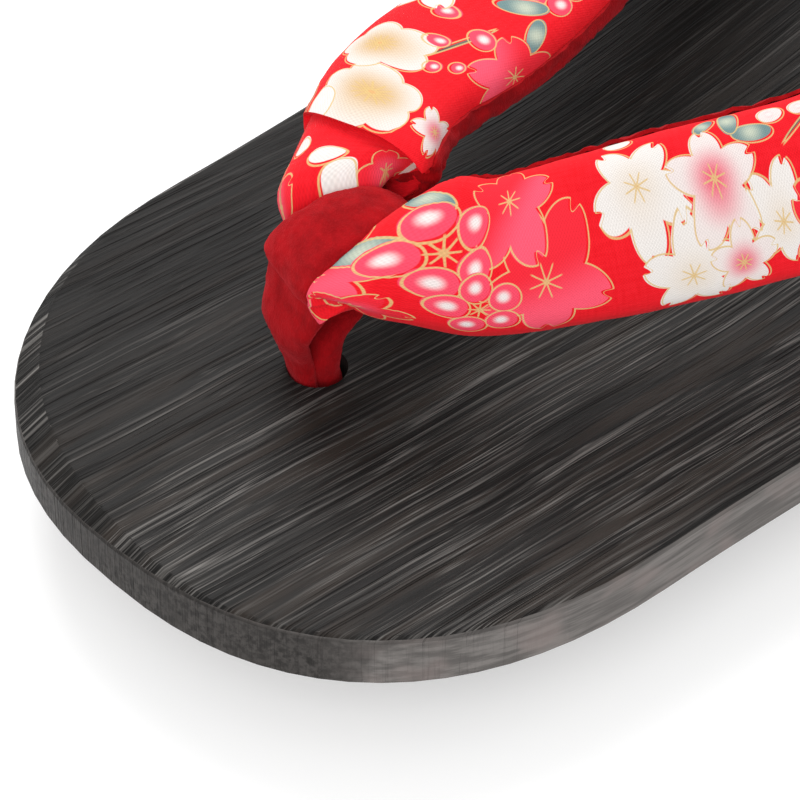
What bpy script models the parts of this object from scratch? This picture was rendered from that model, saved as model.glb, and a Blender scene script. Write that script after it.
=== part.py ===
"""A left geta sandal: a low boat-bottomed wooden body with rubber treads, a padded V strap and a front thong.

Metres, +Z up. The toe points to -Y, the heel to +Y, and +X is the wearer's left, the little toe's side.
The origin is on the ground, under the middle of the body's length and width.
"""

import math

import bmesh
import bpy
from mathutils import Matrix, Vector

# Fit between pieces
FIT_GAP = 0.0003

# Wooden body, seen from above
LENGTH = 0.240
BALL_WIDTH = 0.0944
TOE_ROUND = 0.0507
TOE_FULLNESS = 2.36
HEEL_ROUND = 0.046
HEEL_FULLNESS = 2.3

# Wooden body, seen from the side
BALL_HEIGHT = 0.0200
HEEL_RISE = 0.0180
RISE_START = 0.078
RISE_LENGTH = 0.104
RIM_THICKNESS = 0.0073
UNDERCUT = 0.0110
EDGE_EASE = 0.0007
TOE_SPRING = 0.0070
TOE_SPRING_LENGTH = 0.027
HEEL_SPRING = 0.0030
HEEL_SPRING_LENGTH = 0.014
ARCH_HEIGHT = 0.0120
ARCH_START = 0.104
ARCH_LENGTH = 0.062

# The shaved toe edge, widest a little to the big toe's side of the tip
SHAVE_WIDTH = 0.0029
SHAVE_DEPTH = 0.0014
SHAVE_TURN = math.radians(-26)
SHAVE_REACH = math.radians(50)

# Rubber treads, which end a little inside the flat parts of the base
TREAD_THICKNESS = 0.0037
TREAD_SIDE_MARGIN = 0.0015
TREAD_END_MARGIN = 0.0020

# Strap holes, with a wider pocket below for each knot
FRONT_HOLE_SIDE = -0.0066
FRONT_HOLE_FROM_TOE = 0.0392
REAR_HOLE_FROM_SIDE = 0.0142
REAR_HOLE_FROM_TOE = 0.151
HOLE_DIAMETER = 0.0078
FRONT_POCKET_DIAMETER = 0.0170
REAR_POCKET_DIAMETER = 0.0122
POCKET_DEPTH = 0.0065
POCKET_TREAD_MARGIN = 0.0015
CUTTER_OVERRUN = 0.0050

# Padded V strap
STRAP_WIDTH = 0.0212
STRAP_THICKNESS = 0.0100
STRAP_HEIGHT = 0.0220
STRAP_NECK = 0.0026
STRAP_END_DEPTH = 0.0030

# The waist of the strap, which the front thong loops over
WAIST_WIDTH = 0.0112
WAIST_THICKNESS = 0.0050
WAIST_LENGTH = 0.0124
WAIST_BEHIND_HOLE = 0.0044
WAIST_HEIGHT = 0.0182
WAIST_TURN = math.radians(-101.6)
WAIST_TILT = math.radians(16)

# Front thong
THONG_WIDTH = 0.0116
THONG_THICKNESS = 0.0028
THONG_EASE = 0.0004
THONG_TAPER = 0.62
THONG_SHIFT = 0.0010
LOOP_START = math.radians(-15)
LOOP_SWEEP = math.radians(210)
STEM_TOP_DEPTH = 0.0018
STEM_END_DEPTH = 0.0080

# Knotted cord below each hole
CORD_DIAMETER = 0.0052
KNOT_CLEARANCE = 0.0012
KNOT_HEIGHT = 0.0060
KNOT_NARROWER = 0.86

# Facets
PLAN_STATIONS = 60
TREAD_STATIONS = 24
STRAP_RING = 24
STRAP_STEPS = 5
THONG_RING = 16
THONG_STEPS = 3
LOOP_ROWS = 9
KNOT_SEGMENTS = 20
ROUND_SEGMENTS = 32

# Width and undercut of the body along its length, as shares of LENGTH, BALL_WIDTH and UNDERCUT
PLAN_COLUMNS = ("along", "width", "undercut")
PLAN_ROWS = (
    (0.00, 0.975, 1.00),
    (0.21, 0.975, 1.00),
    (0.42, 1.000, 1.00),
    (0.62, 0.985, 0.60),
    (0.84, 0.925, 0.56),
    (1.00, 0.900, 0.56),
)

# One row for each section of a strap arm, from the waist to the rear hole.
# side and along are shares of the way from the front hole to that arm's rear hole, height is a share of
# STRAP_HEIGHT above the wood there, width and thickness are shares of the strap's own.
# turn is the compass of the section's outer edge in degrees from +X, and tilt how far that edge dips.
ARM_COLUMNS = ("side", "along", "height", "width", "thickness", "turn", "tilt")
OUTER_ARM_ROWS = (
    (0.216, 0.050, 0.925, 0.93, 0.80, -92, 15),
    (0.290, 0.082, 0.985, 0.96, 0.94, -71, 24),
    (0.400, 0.128, 0.930, 0.95, 1.00, -48, 29),
    (0.545, 0.222, 0.940, 0.98, 1.00, -30, 37),
    (0.690, 0.325, 0.985, 1.02, 1.00, -23, 41),
    (0.845, 0.480, 0.935, 1.02, 1.00, -20, 38),
    (0.960, 0.650, 0.850, 0.98, 1.00, -12, 33),
    (1.010, 0.810, 0.700, 0.90, 0.98, -4, 26),
    (1.012, 0.915, 0.480, 0.70, 0.93, 0, 16),
    (1.004, 0.968, 0.270, 0.50, 0.88, 0, 6),
)
INNER_ARM_ROWS = (
    (0.232, 0.074, 0.925, 0.76, 0.80, -122, 9),
    (0.250, 0.116, 0.965, 0.90, 0.96, -152, 13),
    (0.338, 0.160, 1.010, 0.99, 1.00, -172, 13),
    (0.495, 0.226, 1.000, 1.00, 1.00, -171, 8),
    (0.575, 0.350, 0.990, 1.06, 1.00, -170, 4),
    (0.680, 0.500, 0.920, 1.00, 1.00, -170, 8),
    (0.850, 0.665, 0.830, 0.98, 1.00, -172, 16),
    (0.965, 0.815, 0.690, 0.90, 0.98, -176, 20),
    (0.998, 0.915, 0.480, 0.70, 0.93, -180, 14),
    (1.000, 0.968, 0.270, 0.50, 0.88, -180, 6),
)

# The thong's two legs: the front leg from the hole up, then the rear leg from the waist down.
# along is a share of the waist's half width, back from the hole, height a share of WAIST_HEIGHT above the
# wood, width and thickness are shares of the thong's own.
LEG_COLUMNS = ("along", "height", "width", "thickness")
FRONT_LEG_ROWS = (
    (-0.30, -0.20, 0.37, 0.85),
    (-0.44, 0.14, 0.54, 1.05),
    (-0.74, 0.48, 0.84, 1.10),
)
REAR_LEG_ROWS = (
    (1.10, 0.56, 0.42, 1.00),
    (0.46, 0.36, 0.52, 1.05),
    (0.16, 0.12, 0.50, 1.05),
    (0.20, -0.20, 0.37, 0.85),
)


def table(columns, rows):
    """Each row as a dictionary from column name to value."""
    return [dict(zip(columns, row)) for row in rows]


def blend(share):
    """A smooth step from 0 to 1."""
    share = min(max(share, 0.0), 1.0)
    return share * share * (3 - 2 * share)


def hill(share):
    """A smooth hill that is 0 at both ends of 0 to 1 and 1 in the middle."""
    share = min(max(share, 0.0), 1.0)
    return math.sin(math.pi * share) ** 2


def read_along(rows, key, share):
    """A table's value at a share of the length, eased between its rows."""
    for low, high in zip(rows, rows[1:]):
        if share <= high["along"]:
            part = (share - low["along"]) / (high["along"] - low["along"])
            return low[key] + (high[key] - low[key]) * blend(part)
    return rows[-1][key]


def rounded_end(distance, reach, fullness):
    """The share of full width at a distance from the tip of a rounded end."""
    left = max(1 - distance / reach, 0.0)
    return (1 - left**fullness) ** (1 / fullness)


def half_width(from_toe):
    """Half of the body's width at a distance from the toe."""
    share = read_along(table(PLAN_COLUMNS, PLAN_ROWS), "width", from_toe / LENGTH)
    toe = rounded_end(from_toe, TOE_ROUND, TOE_FULLNESS)
    heel = rounded_end(LENGTH - from_toe, HEEL_ROUND, HEEL_FULLNESS)
    return BALL_WIDTH / 2 * share * toe * heel


def top_height(from_toe):
    """The height of the footbed: level under the toes, then rising to the heel."""
    return BALL_HEIGHT + HEEL_RISE * blend((from_toe - RISE_START) / RISE_LENGTH)


def underside_height(from_toe):
    """The height of the wood's flat base, with toe spring, arch and heel spring."""
    toe = max(1 - from_toe / TOE_SPRING_LENGTH, 0.0) ** 2
    heel = max(1 - (LENGTH - from_toe) / HEEL_SPRING_LENGTH, 0.0) ** 2
    arch = hill((from_toe - ARCH_START) / ARCH_LENGTH)
    base = TREAD_THICKNESS + FIT_GAP
    return base + TOE_SPRING * toe + HEEL_SPRING * heel + ARCH_HEIGHT * arch


def outline():
    """The body's plan, once round from the toe tip: each (x, distance from the toe) with its outward way."""
    turns = [math.pi * k / PLAN_STATIONS for k in range(PLAN_STATIONS + 1)]
    steps = [LENGTH * (1 - math.cos(turn)) / 2 for turn in turns]
    near = [Vector((half_width(step), step)) for step in steps]
    far = [Vector((-point.x, point.y)) for point in reversed(near[1:-1])]
    points = near + far
    found = []
    for index, point in enumerate(points):
        run = points[(index + 1) % len(points)] - points[index - 1]
        found.append((point, Vector((run.y, -run.x)).normalized()))
    return found


def inset_outline(inset):
    """The plan moved inwards by inset, which is a length or a function of the plan's point."""
    amount = inset if callable(inset) else lambda point: inset
    return [point - normal * amount(point) for point, normal in outline()]


def undercut(point):
    """How far the base stays inside the plan at one of the plan's points."""
    return UNDERCUT * read_along(table(PLAN_COLUMNS, PLAN_ROWS), "undercut", point.y / LENGTH)


def shave(point):
    """How much of the toe's edge is shaved off at a point of the plan, from 0 to 1."""
    turn = math.atan2(point.x, TOE_ROUND - point.y) - SHAVE_TURN
    return hill(0.5 + 0.5 * turn / SHAVE_REACH)


def collection(name):
    made = bpy.data.collections.new(name)
    bpy.context.scene.collection.children.link(made)
    return made


def material(name, colour, roughness, metallic=0.0):
    made = bpy.data.materials.new(name)
    made.use_nodes = True
    shader = made.node_tree.nodes["Principled BSDF"]
    shader.inputs["Base Color"].default_value = (*colour, 1.0)
    shader.inputs["Roughness"].default_value = roughness
    shader.inputs["Metallic"].default_value = metallic
    return made


def add_object(name, mesh, finish, home):
    made = bpy.data.objects.new(name, mesh)
    made.data.materials.append(finish)
    made.data.shade_smooth()
    made.data.set_sharp_from_angle(angle=math.radians(40))
    home.objects.link(made)
    return made


def loft(name, rings):
    """A closed mesh through rings of equal count, with a flat face over each end."""
    shape = bmesh.new()
    rows = [[shape.verts.new(point) for point in ring] for ring in rings]
    count = len(rows[0])
    for low, high in zip(rows, rows[1:]):
        for k in range(count):
            shape.faces.new((low[k], low[(k + 1) % count], high[(k + 1) % count], high[k]))
    shape.faces.new(list(reversed(rows[0])))
    shape.faces.new(rows[-1])
    bmesh.ops.recalc_face_normals(shape, faces=shape.faces)
    mesh = bpy.data.meshes.new(name)
    shape.to_mesh(mesh)
    shape.free()
    return mesh


def placed(point, height):
    """A plan point, given from the toe, as a place in the object's own frame."""
    return Vector((point.x, point.y - LENGTH / 2, height))


def body_mesh():
    """Rings from the footbed down over the rim to the flat base, and strips across top and base."""
    plan = [point for point, _ in outline()]
    cut = [shave(point) for point in plan]
    corner = EDGE_EASE * (1 - math.cos(math.radians(45)))
    bed = inset_outline(lambda point: EDGE_EASE + SHAVE_WIDTH * shave(point))
    rings = [[placed(point, top_height(point.y)) for point in bed]]
    for line, drop in ((inset_outline(corner), corner), (plan, EDGE_EASE)):
        ring = []
        for point, amount in zip(line, cut):
            ring.append(placed(point, top_height(point.y) - SHAVE_DEPTH * amount - drop))
        rings.append(ring)
    rings.append([placed(point, top_height(point.y) - RIM_THICKNESS) for point in plan])
    rings.append([placed(point, underside_height(point.y)) for point in inset_outline(undercut)])
    shape = bmesh.new()
    rows = [[shape.verts.new(point) for point in ring] for ring in rings]
    count = len(plan)
    for high, low in zip(rows, rows[1:]):
        for k in range(count):
            shape.faces.new((high[k], high[(k + 1) % count], low[(k + 1) % count], low[k]))
    for row in (rows[0], rows[-1]):
        for k in range(count // 2):
            corners = [row[k], row[k + 1], row[-k - 1], row[-k]]
            shape.faces.new(list(dict.fromkeys(corners)))
    bmesh.ops.recalc_face_normals(shape, faces=shape.faces)
    mesh = bpy.data.meshes.new("dai")
    shape.to_mesh(mesh)
    shape.free()
    return mesh


def side_at(line, from_toe):
    """The half width, at a distance from the toe, of a plan that is given once round."""
    near = line[: len(line) // 2 + 1]
    for low, high in zip(near, near[1:]):
        if low.y <= from_toe <= high.y:
            part = (from_toe - low.y) / (high.y - low.y)
            return low.x + (high.x - low.x) * part
    return 0.0


def tread_mesh(name, start, end):
    """A flat pad inside the wood's base, between two distances from the toe."""
    line = inset_outline(lambda point: undercut(point) + TREAD_SIDE_MARGIN)
    steps = [start + (end - start) * k / TREAD_STATIONS for k in range(TREAD_STATIONS + 1)]
    side = [Vector((side_at(line, step), step)) for step in steps]
    far = [Vector((-point.x, point.y)) for point in reversed(side)]
    rings = [[placed(point, height) for point in side + far] for height in (0.0, TREAD_THICKNESS)]
    return loft(name, rings)


def cylinder(name, side, from_toe, low, high, diameter, home):
    """A plain round bar that stands upright, used to cut or to join."""
    shape = bmesh.new()
    bmesh.ops.create_cone(
        shape,
        cap_ends=True,
        segments=ROUND_SEGMENTS,
        radius1=diameter / 2,
        radius2=diameter / 2,
        depth=high - low,
    )
    mesh = bpy.data.meshes.new(name)
    shape.to_mesh(mesh)
    shape.free()
    made = bpy.data.objects.new(name, mesh)
    made.location = (side, from_toe - LENGTH / 2, (low + high) / 2)
    made.hide_render = True
    made.display_type = "WIRE"
    home.objects.link(made)
    return made


def boolean(piece, other, operation):
    change = piece.modifiers.new(other.name, "BOOLEAN")
    change.operation = operation
    change.object = other


def rear_hole_side():
    """How far each rear hole lies from the middle line."""
    return BALL_WIDTH / 2 - REAR_HOLE_FROM_SIDE


def holes():
    """Each strap hole: name, side, distance from the toe, how deep its strap reaches, pocket's diameter."""
    return (
        ("front", FRONT_HOLE_SIDE, FRONT_HOLE_FROM_TOE, STEM_END_DEPTH, FRONT_POCKET_DIAMETER),
        ("outer", rear_hole_side(), REAR_HOLE_FROM_TOE, STRAP_END_DEPTH, REAR_POCKET_DIAMETER),
        ("inner", -rear_hole_side(), REAR_HOLE_FROM_TOE, STRAP_END_DEPTH, REAR_POCKET_DIAMETER),
    )


def width_way(turn, tilt):
    """The way from a section's middle to its outer edge."""
    return Vector((math.cos(turn) * math.cos(tilt), math.sin(turn) * math.cos(tilt), -math.sin(tilt)))


def smooth_rows(rows, steps):
    """Rows of numbers on a smooth curve through the rows given, with so many steps between each two."""
    found = []
    for k in range(len(rows) - 1):
        four = (rows[max(k - 1, 0)], rows[k], rows[k + 1], rows[min(k + 2, len(rows) - 1)])
        for step in range(steps):
            found.append([curve_value(step / steps, *values) for values in zip(*four)])
    found.append(list(rows[-1]))
    return found


def curve_value(t, a, b, c, d):
    """A Catmull-Rom curve's value between b and c."""
    square = 2 * a - 5 * b + 4 * c - d
    cube = 3 * b - a - 3 * c + d
    return 0.5 * (2 * b + (c - a) * t + square * t**2 + cube * t**3)


def band(name, rows, count):
    """A padded band through sections of centre, way to the edge, width and thickness."""
    centres = [row[0] for row in rows]
    rings = []
    for k, (centre, way, width, thickness) in enumerate(rows):
        run = (centres[min(k + 1, len(rows) - 1)] - centres[max(k - 1, 0)]).normalized()
        up = run.cross(way).normalized()
        ring = []
        for j in range(count):
            turn = 2 * math.pi * j / count
            ring.append(centre + way * (width / 2 * math.cos(turn)) + up * (thickness / 2 * math.sin(turn)))
        rings.append(ring)
    return loft(name, rings)


def waist():
    """The waist's middle as a place, and the ways to its toe edge, level and tilted."""
    level = width_way(WAIST_TURN, 0.0)
    from_hole = Vector((FRONT_HOLE_SIDE, FRONT_HOLE_FROM_TOE)) - level.xy * WAIST_BEHIND_HOLE
    return placed(from_hole, BALL_HEIGHT + WAIST_HEIGHT), level, width_way(WAIST_TURN, WAIST_TILT)


def arm_rows(rows, rear_side):
    """An arm's sections from the waist out, each as x, from toe, height, width, thickness, turn, tilt."""
    found = []
    for row in table(ARM_COLUMNS, rows):
        side = FRONT_HOLE_SIDE + (rear_side - FRONT_HOLE_SIDE) * row["side"]
        from_toe = FRONT_HOLE_FROM_TOE + (REAR_HOLE_FROM_TOE - FRONT_HOLE_FROM_TOE) * row["along"]
        height = top_height(from_toe) + STRAP_HEIGHT * row["height"]
        size = [STRAP_WIDTH * row["width"], STRAP_THICKNESS * row["thickness"]]
        found.append([side, from_toe, height, *size, math.radians(row["turn"]), math.radians(row["tilt"])])
    wood = top_height(REAR_HOLE_FROM_TOE)
    plug = HOLE_DIAMETER - 2 * FIT_GAP
    for depth in (-STRAP_NECK, 0.0, STRAP_END_DEPTH):
        found.append([rear_side, REAR_HOLE_FROM_TOE, wood - depth, plug, plug, found[-1][5], 0.0])
    return found


def strap_mesh():
    """One padded tube from the outer rear hole, round the waist, to the inner rear hole."""
    middle, level, _ = waist()
    outer = arm_rows(OUTER_ARM_ROWS, rear_hole_side())
    inner = arm_rows(INNER_ARM_ROWS, -rear_hole_side())
    neck = []
    for reach in (WAIST_LENGTH / 2, -WAIST_LENGTH / 2):
        place = middle + Vector((-level.y, level.x, 0.0)) * reach
        size = [WAIST_WIDTH, WAIST_THICKNESS]
        neck.append([place.x, place.y + LENGTH / 2, place.z, *size, WAIST_TURN, WAIST_TILT])
    rows = smooth_rows(outer[::-1] + neck + inner, STRAP_STEPS)
    sections = [
        (placed(Vector(row[:2]), row[2]), width_way(row[5], row[6]), row[3], row[4]) for row in rows
    ]
    return band("hanao", sections, STRAP_RING)


def thong_mesh():
    """The thong's band: up from the hole, over the strap's waist and down behind it to the hole."""
    middle, level, tilted = waist()
    side = Vector((-level.y, level.x, 0.0))
    middle = middle - side * THONG_SHIFT
    hole = placed(Vector((FRONT_HOLE_SIDE, FRONT_HOLE_FROM_TOE)), BALL_HEIGHT)
    rows = []
    for row in table(LEG_COLUMNS, FRONT_LEG_ROWS + REAR_LEG_ROWS):
        place = hole - level * (row["along"] * WAIST_WIDTH / 2)
        place.z += row["height"] * WAIST_HEIGHT
        rows.append([*place, THONG_WIDTH * row["width"], THONG_THICKNESS * row["thickness"]])
    clear = FIT_GAP + THONG_EASE + THONG_THICKNESS / 2
    up = tilted.cross(side)
    loop = []
    for k in range(LOOP_ROWS):
        turn = LOOP_START + LOOP_SWEEP * k / (LOOP_ROWS - 1)
        reach = tilted * ((WAIST_WIDTH / 2 + clear) * math.cos(turn))
        rise = up * ((WAIST_THICKNESS / 2 + clear) * math.sin(turn))
        width = THONG_WIDTH * (1 - THONG_TAPER * k / (LOOP_ROWS - 1))
        loop.append([*(middle + reach + rise), width, THONG_THICKNESS])
    legs = len(FRONT_LEG_ROWS)
    rows = smooth_rows(rows[:legs] + loop + rows[legs:], THONG_STEPS)
    return band("maetsubo", [(Vector(row[:3]), side, row[3], row[4]) for row in rows], THONG_RING)


def knot_mesh(name, side, from_toe, diameter):
    """The tied knot of a cord: a flattened ball against its pocket's ceiling."""
    ceiling = underside_height(from_toe) + POCKET_DEPTH - FIT_GAP
    shape = bmesh.new()
    rounds = (KNOT_SEGMENTS, KNOT_SEGMENTS // 2)
    ball = bmesh.ops.create_uvsphere(shape, u_segments=rounds[0], v_segments=rounds[1], radius=diameter / 2)
    for vert in ball["verts"]:
        vert.co.y *= KNOT_NARROWER
        vert.co.z *= KNOT_HEIGHT / diameter
    mesh = bpy.data.meshes.new(name)
    shape.to_mesh(mesh)
    shape.free()
    mesh.transform(Matrix.Translation((side, from_toe - LENGTH / 2, ceiling - KNOT_HEIGHT / 2)))
    return mesh


def main():
    for old in list(bpy.data.objects):
        bpy.data.objects.remove(old)
    parts = collection("geta_sandal")
    cutters = collection("cutters")

    wood = material("black_paulownia", (0.020, 0.019, 0.018), 0.55)
    rubber = material("black_rubber", (0.030, 0.030, 0.031), 0.80)
    cotton = material("red_print_cotton", (0.75, 0.025, 0.04), 0.85)
    velvet = material("crimson_velvet", (0.38, 0.010, 0.018), 0.95)
    cord = material("undyed_cord", (0.62, 0.56, 0.46), 0.90)

    dai = add_object("dai", body_mesh(), wood, parts)
    ball_tread = tread_mesh("ball_tread", TOE_SPRING_LENGTH + TREAD_END_MARGIN, ARCH_START - TREAD_END_MARGIN)
    ball_tread = add_object("ball_tread", ball_tread, rubber, parts)
    heel_start = ARCH_START + ARCH_LENGTH + TREAD_END_MARGIN
    heel_end = LENGTH - HEEL_SPRING_LENGTH - TREAD_END_MARGIN
    add_object("heel_tread", tread_mesh("heel_tread", heel_start, heel_end), rubber, parts)
    add_object("hanao", strap_mesh(), cotton, parts)
    maetsubo = add_object("maetsubo", thong_mesh(), velvet, parts)

    plug = HOLE_DIAMETER - 2 * FIT_GAP
    stem = (BALL_HEIGHT - STEM_END_DEPTH, BALL_HEIGHT - STEM_TOP_DEPTH)
    bar = cylinder("thong_stem", FRONT_HOLE_SIDE, FRONT_HOLE_FROM_TOE, *stem, plug, cutters)
    boolean(maetsubo, bar, "UNION")

    for name, side, from_toe, reach, pocket_size in holes():
        ceiling = underside_height(from_toe) + POCKET_DEPTH
        top = top_height(from_toe)
        low = -CUTTER_OVERRUN
        hole = cylinder(f"{name}_hole", side, from_toe, low, top + CUTTER_OVERRUN, HOLE_DIAMETER, cutters)
        pocket = cylinder(f"{name}_pocket", side, from_toe, low, ceiling, pocket_size, cutters)
        boolean(dai, hole, "DIFFERENCE")
        boolean(dai, pocket, "DIFFERENCE")
        ball = knot_mesh(f"{name}_knot", side, from_toe, pocket_size - 2 * KNOT_CLEARANCE)
        knot = add_object(f"{name}_knot", ball, cord, parts)
        middle = ceiling - FIT_GAP - KNOT_HEIGHT / 2
        tail = cylinder(f"{name}_cord", side, from_toe, middle, top - reach - FIT_GAP, CORD_DIAMETER, cutters)
        boolean(knot, tail, "UNION")

    wide = FRONT_POCKET_DIAMETER + 2 * POCKET_TREAD_MARGIN
    window = (-CUTTER_OVERRUN, TREAD_THICKNESS + CUTTER_OVERRUN)
    window = cylinder("tread_window", FRONT_HOLE_SIDE, FRONT_HOLE_FROM_TOE, *window, wide, cutters)
    boolean(ball_tread, window, "DIFFERENCE")


main()
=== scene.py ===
import math

import bmesh
import bpy
import numpy as np
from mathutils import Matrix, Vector, noise


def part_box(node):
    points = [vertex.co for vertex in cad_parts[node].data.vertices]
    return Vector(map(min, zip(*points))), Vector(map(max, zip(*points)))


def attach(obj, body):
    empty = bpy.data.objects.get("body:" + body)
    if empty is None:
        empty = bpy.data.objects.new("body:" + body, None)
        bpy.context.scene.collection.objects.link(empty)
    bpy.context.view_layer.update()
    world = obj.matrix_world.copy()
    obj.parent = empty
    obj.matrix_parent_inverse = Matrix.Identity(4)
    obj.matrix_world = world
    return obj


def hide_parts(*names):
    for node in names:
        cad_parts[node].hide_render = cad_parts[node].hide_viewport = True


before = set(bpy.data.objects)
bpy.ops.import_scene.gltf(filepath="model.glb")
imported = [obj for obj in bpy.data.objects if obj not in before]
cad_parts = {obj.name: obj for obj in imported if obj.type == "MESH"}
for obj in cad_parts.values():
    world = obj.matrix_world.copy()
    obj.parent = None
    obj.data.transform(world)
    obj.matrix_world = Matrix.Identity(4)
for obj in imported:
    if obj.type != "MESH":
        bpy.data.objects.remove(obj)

bl_info = {
    "name": "Geta Sandal Dressing",
    "version": (1, 0, 0),
    "blender": (4, 5, 0),
    "location": "View3D > Sidebar > Geta",
    "description": "Brushed board, printed strap, velvet thong, treads and knots around the sandal's frame",
    "category": "Object",
}


def mm(value):
    """Millimetres as metres."""
    return value / 1000


# The camera: where it looks, from how far and which side, and its lens
CAMERA_TARGET = Vector((0.00495, -0.0772, 0.0200))
CAMERA_DISTANCE = 0.600
CAMERA_AZIMUTH = math.radians(47.9)
CAMERA_ELEVATION = math.radians(43.15)
CAMERA_LENS = 215.7

# The board's top: level under the toes, then rising to the heel
LENGTH = 0.240
BALL_HEIGHT = 0.0200
HEEL_RISE = 0.0180
RISE_START = 0.078
RISE_LENGTH = 0.104

# The board's grain leans to the outer side towards the heel, and less so on the outer side
GRAIN_LEAN = 0.060
GRAIN_FAN = 0.55
GRAIN_MIDDLE = 0.050
# How far in mm the grain wanders, and how little it changes with depth, so that it runs on over the edges
GRAIN_WANDER = 2.4
GRAIN_DEPTH = 0.02

# The strips that the top is cut into go this far beyond the board, and are this long along the grain
STRIPS_BEYOND = 1.2
CROSS_STRIP = 0.0030
# A raised ridge's half width
RIDGE_HALF = 0.00024

# Evenly spaced ridges of the grain, and how far they bend
EVEN_PITCH = 0.00125
EVEN_BEND = 14.0

# Thin lines of the grain. pitch is how many features of the noise lie in a mm across it, run how many in a
# mm along it, and width is the noise's own. The breaks are a second noise, between faded and full.
LINE_COLUMNS = ("pitch", "run", "width", "shift", "breaks", "breaks_run", "breaks_shift", "faded", "full")
LINES = {
    "fine": (1.30, 0.012, 0.050, 0.0, 1.5, 0.030, 3.0, 0.42, 0.58),
    "finer": (2.1, 0.014, 0.060, 5.0, 2.2, 0.050, 7.0, 0.46, 0.60),
    "groove": (1.2, 0.007, 0.060, 11.0, 1.0, 0.05, 13.0, 0.40, 0.62),
}

# Deep stain in the grooves, in the pores and in the crack, painted shade along the rounded edge in the
# pores' colour, and a warm blush on the rim
HOLLOW = (0.0035, 0.0030, 0.0028)
PORE_AND_EDGE_SHADE = (0.012, 0.011, 0.010)
CRACK = (0.02, 0.018, 0.016)
RIM_BLUSH = (0.215, 0.175, 0.165)

# A fine crack in the toe's end grain, from the middle line
CRACK_AT = 0.0395

# Strap holes, from the middle line and from the toe
FRONT_HOLE = Vector((-0.0066, 0.0392))
REAR_HOLE_SIDE = 0.0330
REAR_HOLE_FROM_TOE = 0.151
HOLE_DIAMETER = 0.0078
FIT_GAP = 0.0003

# Padded V strap
STRAP_WIDTH = 0.0212
STRAP_THICKNESS = 0.0100
STRAP_HEIGHT = 0.0220
STRAP_NECK = 0.0026
STRAP_END_DEPTH = 0.0030

# The waist of the strap, which the front thong loops over
WAIST_WIDTH = 0.0112
WAIST_THICKNESS = 0.0050
WAIST_LENGTH = 0.0124
WAIST_BEHIND_HOLE = 0.0044
WAIST_HEIGHT = 0.0182
WAIST_TURN = math.radians(-101.6)
WAIST_TILT = math.radians(16)

# The lining under the strap: between which shares of the way round, and rows left bare at each end
LINING_SHARES = (-0.262, 0.07)
LINING_ENDS = 30

# Front thong
THONG_WIDTH = 0.0116
THONG_THICKNESS = 0.0028
THONG_EASE = 0.0004
THONG_TAPER = 0.62
THONG_SHIFT = 0.0010
# The rear leg is pressed to the toe, and the front leg's foot to the big toe's side
LEG_PRESS = (0.0008, 0.0004, -0.0004)
LEG_ASIDE = (0.0002, 0.0009, 0.0005)
REAR_LEG_FULLNESS = 1.40
LOOP_START = math.radians(-15)
LOOP_SWEEP = math.radians(210)
LOOP_ROWS = 9
# The velvet over the waist swells towards the outer arm
LOOP_FULLNESS = 1.22
LOOP_SWELL = 0.0010

# One row for each section of a strap arm, from the waist to the rear hole.
# side and along are shares of the way from the front hole to that arm's rear hole, height is a share of
# STRAP_HEIGHT above the wood there, width and thickness are shares of the strap's own.
# turn is the compass of the section's outer edge in degrees from +X, and tilt how far that edge dips.
ARM_COLUMNS = ("side", "along", "height", "width", "thickness", "turn", "tilt")
OUTER_ARM_ROWS = (
    (0.216, 0.050, 0.925, 0.93, 0.80, -92, 15),
    (0.290, 0.082, 0.985, 0.96, 0.94, -71, 24),
    (0.400, 0.128, 0.930, 0.95, 1.00, -48, 29),
    (0.545, 0.222, 0.940, 0.98, 1.00, -30, 37),
    (0.690, 0.325, 0.985, 1.02, 1.00, -23, 41),
    (0.845, 0.480, 0.935, 1.02, 1.00, -20, 38),
    (0.960, 0.650, 0.850, 0.98, 1.00, -12, 33),
    (1.010, 0.810, 0.700, 0.90, 0.98, -4, 26),
    (1.012, 0.915, 0.480, 0.70, 0.93, 0, 16),
    (1.004, 0.968, 0.270, 0.50, 0.88, 0, 6),
)
INNER_ARM_ROWS = (
    (0.232, 0.074, 0.925, 0.76, 0.80, -122, 9),
    (0.250, 0.116, 0.965, 0.90, 0.96, -152, 13),
    (0.338, 0.160, 1.010, 0.99, 1.00, -172, 13),
    (0.495, 0.226, 1.000, 1.00, 1.00, -171, 8),
    (0.575, 0.350, 0.990, 1.06, 1.00, -170, 4),
    (0.680, 0.500, 0.920, 1.00, 1.00, -170, 8),
    (0.850, 0.665, 0.830, 0.98, 1.00, -172, 16),
    (0.965, 0.815, 0.690, 0.90, 0.98, -176, 20),
    (0.998, 0.915, 0.480, 0.70, 0.93, -180, 14),
    (1.000, 0.968, 0.270, 0.50, 0.88, -180, 6),
)

# The thong's legs: the front leg from the hole up, then the rear leg from the waist down.
# along is a share of the waist's half width, back from the hole, height a share of WAIST_HEIGHT above the
# wood, width and thickness are shares of the thong's own.
LEG_COLUMNS = ("along", "height", "width", "thickness")
FRONT_LEG_ROWS = (
    (-0.30, -0.20, 0.37, 0.85),
    (-0.44, 0.14, 0.54, 1.05),
    (-0.74, 0.48, 0.84, 1.10),
)
REAR_LEG_ROWS = (
    (1.10, 0.56, 0.42, 1.00),
    (0.46, 0.36, 0.52, 1.05),
    (0.16, 0.12, 0.50, 1.05),
    (0.20, -0.20, 0.37, 0.85),
)

# Cross ribs of the treads
RIB_PITCH = 0.0032

# Cord knots: the cord's thickness and its most, as a share of the knot's half width and in metres,
# and how much of the knot's solid is left as its core
KNOT_CORD = 0.27
KNOT_CORD_MOST = 0.0016
KNOT_CORE = 0.62
KNOT_HEIGHT = 0.0060
KNOT_ROWS = 96

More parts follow.
